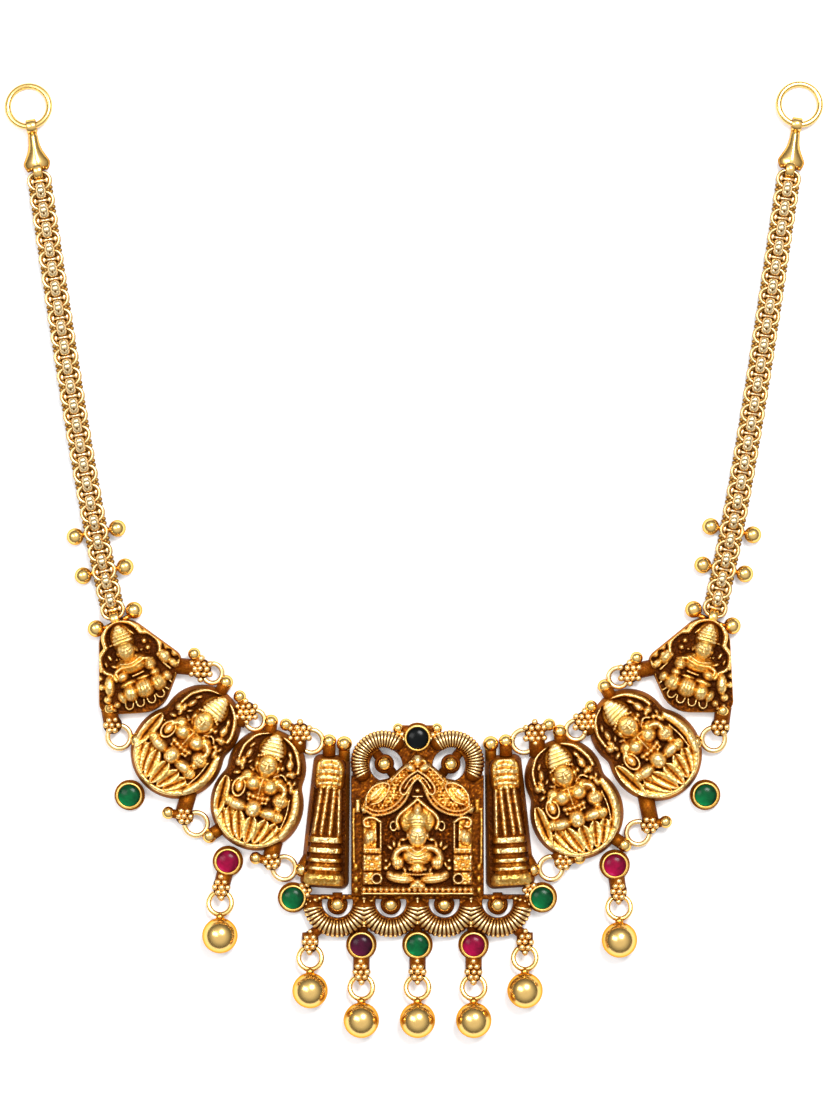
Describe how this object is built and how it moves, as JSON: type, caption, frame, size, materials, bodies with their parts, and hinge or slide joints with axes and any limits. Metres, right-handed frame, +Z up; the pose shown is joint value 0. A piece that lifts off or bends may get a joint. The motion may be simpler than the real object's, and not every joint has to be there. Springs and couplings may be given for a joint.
{
  "type": "temple jewellery necklace",
  "caption": "Short necklace with a shrine centrepiece, figure plaques, linked chains, set stones, ball drops and end rings for a tie cord.",
  "frame": {"origin": "centre of the necklace's bounding box, on the surface it lies on", "axes": "+X to the right as it lies face up, +Y from the drops towards the neck end, +Z up out of the surface, through the decorated face"},
  "size_m": [0.164, 0.1915, 0.0071],
  "materials": {
    "antique_gold": "gilt silver, raised parts polished, dark tarnish in the recesses",
    "bright_gold": "gilt silver, polished",
    "green_stone": "polished emerald-green cabochon",
    "red_stone": "polished ruby-red cabochon",
    "purple_stone": "polished dark purple cabochon",
    "dark_stone": "polished blackish green cabochon"
  },
  "bodies": {
    "root": {"end_ring_left": "bright_gold", "end_ring_right": "bright_gold", "end_cap_left": "bright_gold", "end_cap_right": "bright_gold", "chain_left": "bright_gold", "chain_right": "bright_gold", "trefoil_left": "antique_gold", "trefoil_right": "antique_gold", "oval_outer_left": "antique_gold", "oval_outer_right": "antique_gold", "oval_inner_left": "antique_gold", "oval_inner_right": "antique_gold", "pillar_left": "antique_gold", "pillar_right": "antique_gold", "centre_frame": "antique_gold", "shrine_plate": "antique_gold", "stone_top": "dark_stone", "stone_outer_left": "green_stone", "stone_outer_right": "green_stone", "stone_inner_left": "red_stone", "stone_inner_right": "red_stone", "stone_corner_left": "green_stone", "stone_corner_right": "green_stone", "stone_row_left": "purple_stone", "stone_row_middle": "green_stone", "stone_row_right": "red_stone", "drop_inner_left": "bright_gold", "drop_inner_right": "bright_gold", "drop_corner_left": "bright_gold", "drop_corner_right": "bright_gold", "drop_row_left": "bright_gold", "drop_row_middle": "bright_gold", "drop_row_right": "bright_gold"}
  },
  "joints": []
}
